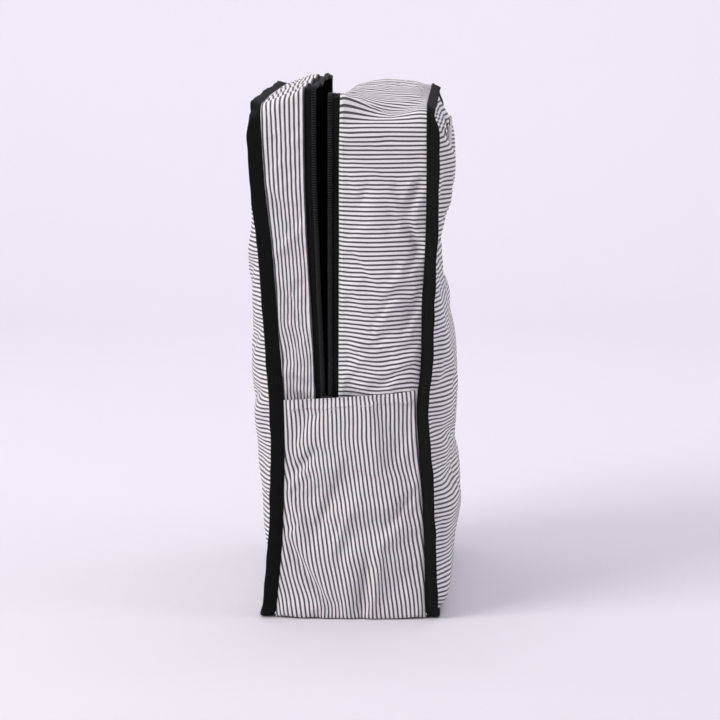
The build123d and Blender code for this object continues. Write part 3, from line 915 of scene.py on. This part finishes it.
# One loop of the coil: how far in from its edge, and how far up.
COIL_LOOP = np.array([(3.5, -0.2), (3.3, 0.45), (2.6, 0.85), (1.5, 0.95), (0.55, 0.75),
                      (0.05, 0.1), (0.45, -0.75), (1.6, -1.0)]) * MM
front_coil_edge = smooth_curve([
    (0, -19.3), (160, -19.3), (172, -19.9), (185, -20.2), (217, -21.2), (257, -23.1), (300, -24.6),
    (340, -26.4), (377, -27.0), (430, -27.2)])
rear_coil_edge = smooth_curve([(0, -17.7), (184, -17.7), (300, -17.9), (430, -17.6)])


def zip_tape(name, inner, outer, seed, power, rise):
    """Woven tape from under the cloth's edge to the coil."""
    s = strip_rows(4 * MM)
    points = strip(s, inner, outer, 7, 0.0, seed, -1.35 * MM, (power, power), tuck=False)
    y, z, ny, nz = outline(s)
    points[..., 2] += rise(y, z)[:, None]
    bump = 0.35 * MM * ripple(points, 0.02, seed)
    points += bump[..., None] * outward(ny, nz)
    cloth = np.stack([points[..., 0], down(s, points)], -1)
    return thicken(grid_mesh(name, points, cloth, TAPE), 0.5 * MM)


def zip_coil(name, edge, inward, seed, power, rise):
    """One side's nylon coil: a row of bent monofilament loops over the tape's edge."""
    low, high = up_side(ZIP_END - 0.002), far_side(ZIP_END - 0.002)
    count = int((high - low) / COIL_PITCH)
    s = low + (np.arange(count) + 0.5) * (high - low) / count
    y, z, ny, nz = outline(s)
    edge_x = edge(z) + 0.10 * MM * ripple(np.stack([edge(z), y, z], -1), 0.03, seed)
    square = squarer(nz, ny, power)
    y, z = y + ny * square, z + nz * square + rise(y, z)
    along = np.stack([0 * y, nz, -ny], -1)
    up = np.stack([0 * y, ny, nz], -1)
    ahead = np.gradient(COIL_LOOP, axis=0)
    ahead /= np.linalg.norm(ahead, axis=1, keepdims=True)
    verts, faces = [], []
    for k in range(count):
        start = np.array([edge_x[k], y[k], z[k]])
        faces += tube_faces(len(verts), len(COIL_LOOP), COIL_SIDES, COIL_SIDES, 1)
        for i, (reach, height) in enumerate(COIL_LOOP):
            slant = (0.35 - 0.1 * i) * COIL_PITCH * 0.5
            centre = (start + np.array([inward * reach, 0, 0]) + up[k] * (height - 0.5 * MM)
                      + along[k] * slant)
            across = np.array([-inward * ahead[i, 1], 0, 0]) + up[k] * ahead[i, 0]
            for j in range(COIL_SIDES):
                a = 2 * math.pi * j / COIL_SIDES
                rim = across * math.cos(a) + along[k] * math.sin(a) * 1.25
                verts.append((centre + COIL_WIRE * rim).tolist())
    piece = new_piece(name, verts, faces, COIL)
    return piece


def zip_stop(name, side):
    """Small tab of binding over the zip's end."""
    low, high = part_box(name)
    x, z = np.meshgrid(np.linspace(low.x, high.x, 9), np.linspace(low.z, high.z, 7))
    y = side * (HALF + 0.9 * MM) + 0.15 * MM * side * np.sin(x / (2 * MM))
    cloth = grid_mesh(name + "_cloth", np.stack([x, y, z], -1), np.stack([x, z], -1), BINDING)
    return thicken(cloth, 0.8 * MM)


# ---- handles ----
BACK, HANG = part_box("rear_handle_anchors")[0].x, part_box("rear_handle")[0].x
STRAP_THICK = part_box("rear_handle")[1].x - HANG
STRAP = 24 * MM
BEND = 14 * MM + STRAP / 2  # centre line radius of the two lower bends
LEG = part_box("rear_handle")[1].y - STRAP / 2
HANDLE_TOP, HANDLE_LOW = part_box("rear_handle")[1].z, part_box("rear_handle")[0].z
ANCHOR_TOP, ANCHOR_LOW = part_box("rear_handle_anchors")[1].z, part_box("rear_handle_anchors")[0].z
CLOSER = 3.2 * MM  # the soft straps hang this much nearer
STRAP_CLOTH = 2.4 * MM  # and are this thick
FRONT_OFFSET = 10 * MM  # the front handle stands this much less far out
FRONT_LEAN = math.radians(4.2)  # the flap's lean and opening at rest
HINGE_X, HINGE_Z = -64 * MM, ZIP_END  # the line that the flap folds on


def to_front(points):
    """Carry points of the rear handle over to the leaning front flap."""
    moved = points.copy()
    x = FRONT_OFFSET - points[..., 0] - HINGE_X
    z = points[..., 2] - HINGE_Z
    moved[..., 0] = HINGE_X + x * math.cos(FRONT_LEAN) - z * math.sin(FRONT_LEAN)
    moved[..., 2] = HINGE_Z + x * math.sin(FRONT_LEAN) + z * math.cos(FRONT_LEAN)
    return moved


def handle_line():
    """Centre line, facing and width directions of a hanging handle, from end to end."""
    mid = HANG + STRAP_THICK / 2 - CLOSER
    roll = (mid - BACK) / 2 - 0.3 * MM
    top = HANDLE_TOP - roll - STRAP_THICK / 2
    rows = []
    for a in np.linspace(math.pi, 0, 8):
        rows.append((mid - roll + roll * math.cos(a), -LEG, top + roll * math.sin(a),
                     math.cos(a), 0, math.sin(a), 0, 1, 0))
    for z in np.linspace(top, HANDLE_LOW + STRAP / 2 + BEND, 6)[1:]:
        rows.append((mid, -LEG, z, 1, 0, 0, 0, 1, 0))
    for a in np.linspace(math.pi, 1.5 * math.pi, 9)[1:]:
        c, d = math.cos(a), math.sin(a)
        rows.append((mid, -LEG + BEND + BEND * c, HANDLE_LOW + STRAP / 2 + BEND + BEND * d,
                     1, 0, 0, 0, -c, -d))
    half = np.array(rows)
    across = np.tile(half[-1], (9, 1))
    across[:, 1] = np.linspace(half[-1, 1], -half[-1, 1], 11)[1:-1]
    far = half[::-1] * np.array([1, -1, 1] * 3)
    return np.concatenate([half, across, far])


def strap(line, width, thickness, seed, wave):
    """A flat stitched strap along a line, with rounded edges and a padded middle."""
    profile = [(-1, 0), (-0.97, 0.55), (-0.86, 0.85), (-0.74, 0.72), (-0.5, 0.95), (0, 1),
               (0.5, 0.95), (0.74, 0.72), (0.86, 0.85), (0.97, 0.55)]
    loop = profile + [(-w, -n) for w, n in profile]
    w = np.array([p[0] for p in loop]) * width / 2
    n = np.array([p[1] for p in loop]) * thickness / 2
    centre, facing, wide = line[:, None, :3], line[:, None, 3:6], line[:, None, 6:9]
    warp = wave * ripple(line[:, :3], 0.03, seed)
    points = centre + wide * w[None, :, None] + facing * (n[None, :] + warp[:, None])[..., None]
    run = np.concatenate([[0], np.cumsum(np.linalg.norm(np.diff(line[:, :3], axis=0), axis=1))])
    side = np.concatenate([[0], np.cumsum(np.hypot(np.diff(w), np.diff(n)))])
    side = np.append(side, side[-1] + abs(w[0] - w[-1]))
    cloth = np.stack(np.broadcast_arrays(run[:, None], side[None, :]), -1)
    return points, cloth


def sew_on(node, body, front, names, points, cloth, rows):
    """Place a strap and its rows of stitches, carried over to the flap if it is the front's."""
    if front:
        points = to_front(points)
        rows = [(to_front(path), -normal) for path, normal in rows]
    piece = rounded(grid_mesh(names[0], points, cloth, CANVAS, tube=True))
    thread = stitches(names[1], rows)
    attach(piece, body)
    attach(thread, body)
    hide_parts(node)


def handle(node, body, front):
    """A hanging handle, stitched along both edges."""
    line = handle_line()
    points, cloth = strap(line, STRAP, STRAP_CLOTH, 31, 0.35 * MM)
    facing = line[:, 3:6]
    lift = 0.05 * MM
    rows = [(points[:, column] + facing * lift, facing) for column in (3, 7)]
    sew_on(node, body, front, (node + "_strap", node + "_stitches"), points, cloth, rows)


def anchors(node, body, front):
    """The sewn-down ends of a handle: each a flat of strap with a boxed cross of stitches."""
    face = BACK + 1.55 * MM
    low, high = ANCHOR_LOW + 3.5 * MM, ANCHOR_LOW + 20.5 * MM
    for side, label in ((-1, "near"), (1, "far")):
        flat = np.zeros((9, 9))
        flat[:, 0] = BACK + 0.7 * MM
        flat[:, 1] = side * LEG
        flat[:, 2] = np.linspace(ANCHOR_TOP + 0.6 * MM, ANCHOR_LOW, 9)
        flat[:, 3] = flat[:, 7] = 1
        points, cloth = strap(flat, STRAP - 1 * MM, 1.6 * MM, 41 + side, 0.0)
        left, right = side * LEG - 8.5 * MM, side * LEG + 8.5 * MM
        corners = [(left, low), (right, low), (right, high), (left, high)]
        t = np.linspace(0, 1, 6)[:, None]
        rows = []
        for a, b in ((0, 1), (1, 2), (2, 3), (3, 0), (0, 2), (1, 3)):
            path = (1 - t) * np.array([face, *corners[a]]) + t * np.array([face, *corners[b]])
            rows.append((path, np.tile([1.0, 0, 0], (6, 1))))
        names = (f"{node}_{label}", f"{node}_{label}_stitches")
        sew_on(node, body, front, names, points, cloth, rows)


# ---- assembly ----
SLUMP = 5 * MM


def on_bag(piece, slot, *nodes):
    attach(piece, "bag")
    finish_piece(nodes)


def lean_in(piece):
    """The front's far upper corner has slumped inwards by SLUMP; its zip edge stays put."""
    co = coordinates(piece)
    amount = (eased(co[:, 1], -0.04, HALF) * eased(co[:, 2], TOP - 0.050, TOP)
              * np.clip((-0.038 - co[:, 0]) / 0.030, 0, 1))
    co[:, 0] += SLUMP * amount
    move_to(piece, co)


def on_fold(piece, slot, *nodes):
    """A piece that runs from the body up into the flap: its far upper corner leans in, and its
    placing is baked into its mesh.
    """
    lean_in(piece)
    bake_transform(piece)
    finish_piece(nodes)


def finish_piece(nodes):
    if nodes:
        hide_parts(*nodes)


rear_strip_cloth = rear_gusset()
on_bag(rear_strip_cloth, "canvas", "rear_gusset")
front_strip_cloth = front_gusset()
on_fold(front_strip_cloth, "canvas", "front_gusset")
boot = lower_gusset()
on_bag(boot, "canvas", "lower_gusset")

HANDLE_WALL = BACK - 0.9 * MM
rear_cloth = panel("rear_panel_cloth", rear_seam, rear_bulge, 1, 51, REAR_FOLDS, 19.4 * MM)
hollow_for_handle(rear_cloth, lambda z: HANDLE_WALL + 0 * z, 1)
front_cloth = panel("front_panel_cloth", front_seam, front_bulge, -1, 61, FRONT_FOLDS, 14.5 * MM)
front_wall = to_front(np.array([[HANDLE_WALL, 0, HANDLE_LOW], [HANDLE_WALL, 0, HANDLE_TOP]]))
hollow_for_handle(
    front_cloth, lambda z: np.interp(z, front_wall[:, 2], front_wall[:, 0]), -1)
rear_inner = panel_lining("rear_panel_inner", rear_cloth, rear_seam, 1)
front_inner = panel_lining("front_panel_inner", front_cloth, front_seam, -1)
thicken(rear_cloth, 1.1 * MM)
thicken(front_cloth, 1.1 * MM)
on_bag(rear_cloth, "canvas", "rear_panel", "rear_panel_foam")
on_fold(front_cloth, "canvas", "front_panel_lower", "front_panel_fold", "front_panel_upper",
        "front_foam_lower", "front_foam_upper")
on_bag(rear_inner, "lining", "rear_panel_lining")
on_fold(front_inner, "lining", "front_lining_lower", "front_lining_upper")

strip_low, strip_high = up_side(ZIP_END), far_side(ZIP_END)
rear_gusset_inner = strip_lining(
    "rear_gusset_inner", strip_low, strip_high, rear_zip_edge, inside_rear, 71, 6.5 * MM,
    **REAR_STRIP)
on_bag(rear_gusset_inner, "lining", "rear_gusset_lining")
front_gusset_inner = strip_lining(
    "front_gusset_inner", strip_low, strip_high, inside_front, front_zip_edge, 72, 4.8 * MM,
    **FRONT_STRIP)
on_fold(front_gusset_inner, "lining", "front_gusset_lining")
boot_inner = strip_lining(
    "lower_gusset_inner", far_side(ZIP_END), PERIMETER + up_side(ZIP_END),
    inside_front, inside_rear, 73, 3.2 * MM, floor=4.0 * MM, tuck=False)
on_bag(boot_inner, "lining", "lower_gusset_lining", "base_board")

near_pocket, near_thread, pocket_drop = pocket(-1, "near_pocket_cloth")
on_bag(near_pocket, "canvas", "near_side_pocket")
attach(near_thread, "bag")
far_pocket, far_thread, _ = pocket(1, "far_pocket_cloth")
on_bag(far_pocket, "canvas", "far_side_pocket")
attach(far_thread, "bag")

on_bag(binding("rear_binding_tape", rear_seam, 1, 81, 11.2 * MM, 34, 72),
       "binding", "rear_binding")
on_fold(binding("front_binding_tape", front_seam, -1, 91, 12.2 * MM, 28, 28),
        "binding", "front_binding_lower", "front_binding_upper")

on_bag(zip_tape("rear_zip_tape_cloth", lambda z: rear_coil_edge(z) + 0.5 * MM,
                lambda z: rear_zip_edge(z) + 2 * MM, 101, REAR_POWER, rear_rise),
       "zip_tape", "rear_zip_tape")
on_fold(zip_tape("front_zip_tape_cloth", lambda z: front_zip_edge(z) - 2 * MM,
                 lambda z: front_coil_edge(z) - 0.5 * MM, 102, FRONT_POWER, front_rise),
        "zip_tape", "front_zip_tape")
on_bag(zip_coil("rear_zip_teeth", rear_coil_edge, 1, 103, REAR_POWER, rear_rise),
       "zip_coil", "rear_zip_coil")
on_fold(zip_coil("front_zip_teeth", front_coil_edge, -1, 104, FRONT_POWER, front_rise),
        "zip_coil", "front_zip_coil")
for side, label in ((-1, "near"), (1, "far")):
    on_bag(zip_stop(f"{label}_zip_stop", side), "binding", f"{label}_zip_stop")
for node in ("near_slider", "far_slider", "near_pull_tab", "far_pull_tab"):
    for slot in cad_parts[node].material_slots:
        slot.material = LACQUER

handle("rear_handle", "rear_handle", False)
handle("front_handle", "front_handle", True)
anchors("rear_handle_anchors", "bag", False)
anchors("front_handle_anchors", "flap", True)


# ---- studio ----
def sweep():
    """The paper, from in front of the bag to high behind it: sizes in metres."""
    arc = np.linspace(0, math.pi / 2, 16)
    radius, back, front, high, wide = 0.9, 1.6, -3.2, 4.0, 6.0
    y = np.concatenate([np.linspace(front, back, 8), back + radius * np.sin(arc)[1:],
                        np.full(6, back + radius)])
    z = np.concatenate([np.zeros(8), radius * (1 - np.cos(arc))[1:],
                        np.linspace(radius, high, 7)[1:]])
    x = np.linspace(-wide, wide, 4)
    points = np.stack(np.broadcast_arrays(x[None, :], y[:, None], z[:, None] - 0.0003), -1)
    paper = grained("studio_paper", 1.2, 2.0, (0.80, 0.765, 0.815), (0.83, 0.80, 0.85),
                    roughness=0.9)[0].material
    grid_mesh("studio_floor", points, points[..., :2], paper)


def area_light(name, place, aim, size, power, colour):
    """A soft rectangular light of this many watts."""
    light = bpy.data.lights.new(name, "AREA")
    light.shape = "RECTANGLE"
    light.size, light.size_y = size
    light.energy = power
    light.color = colour
    lamp = bpy.data.objects.new(name, light)
    lamp.location = place
    lamp.rotation_euler = (Vector(place) - Vector(aim)).to_track_quat("Z", "Y").to_euler()
    bpy.context.scene.collection.objects.link(lamp)


bpy.context.scene.view_settings.view_transform = "Standard"
sweep()
MIDDLE = (0, 0, 0.2)
area_light("key", (-2.0, -1.5, 1.7), MIDDLE, (1.8, 1.8), 56, (1.0, 0.985, 0.97))
area_light("fill", (2.6, -0.8, 1.0), MIDDLE, (1.4, 1.4), 15, (0.97, 0.97, 1.0))
area_light("top", (0.2, 0.3, 2.6), MIDDLE, (2.2, 2.2), 12, (1.0, 1.0, 1.0))
area_light("backdrop", (0.0, 0.9, 2.2), (0, 2.6, 0.3), (3.0, 1.0), 17, (0.93, 0.95, 1.0))
world = bpy.data.worlds.new("studio")
bpy.context.scene.world = world
world.use_nodes = True
world.node_tree.nodes["Background"].inputs["Color"].default_value = (0.93, 0.92, 1.0, 1.0)
world.node_tree.nodes["Background"].inputs["Strength"].default_value = 0.45
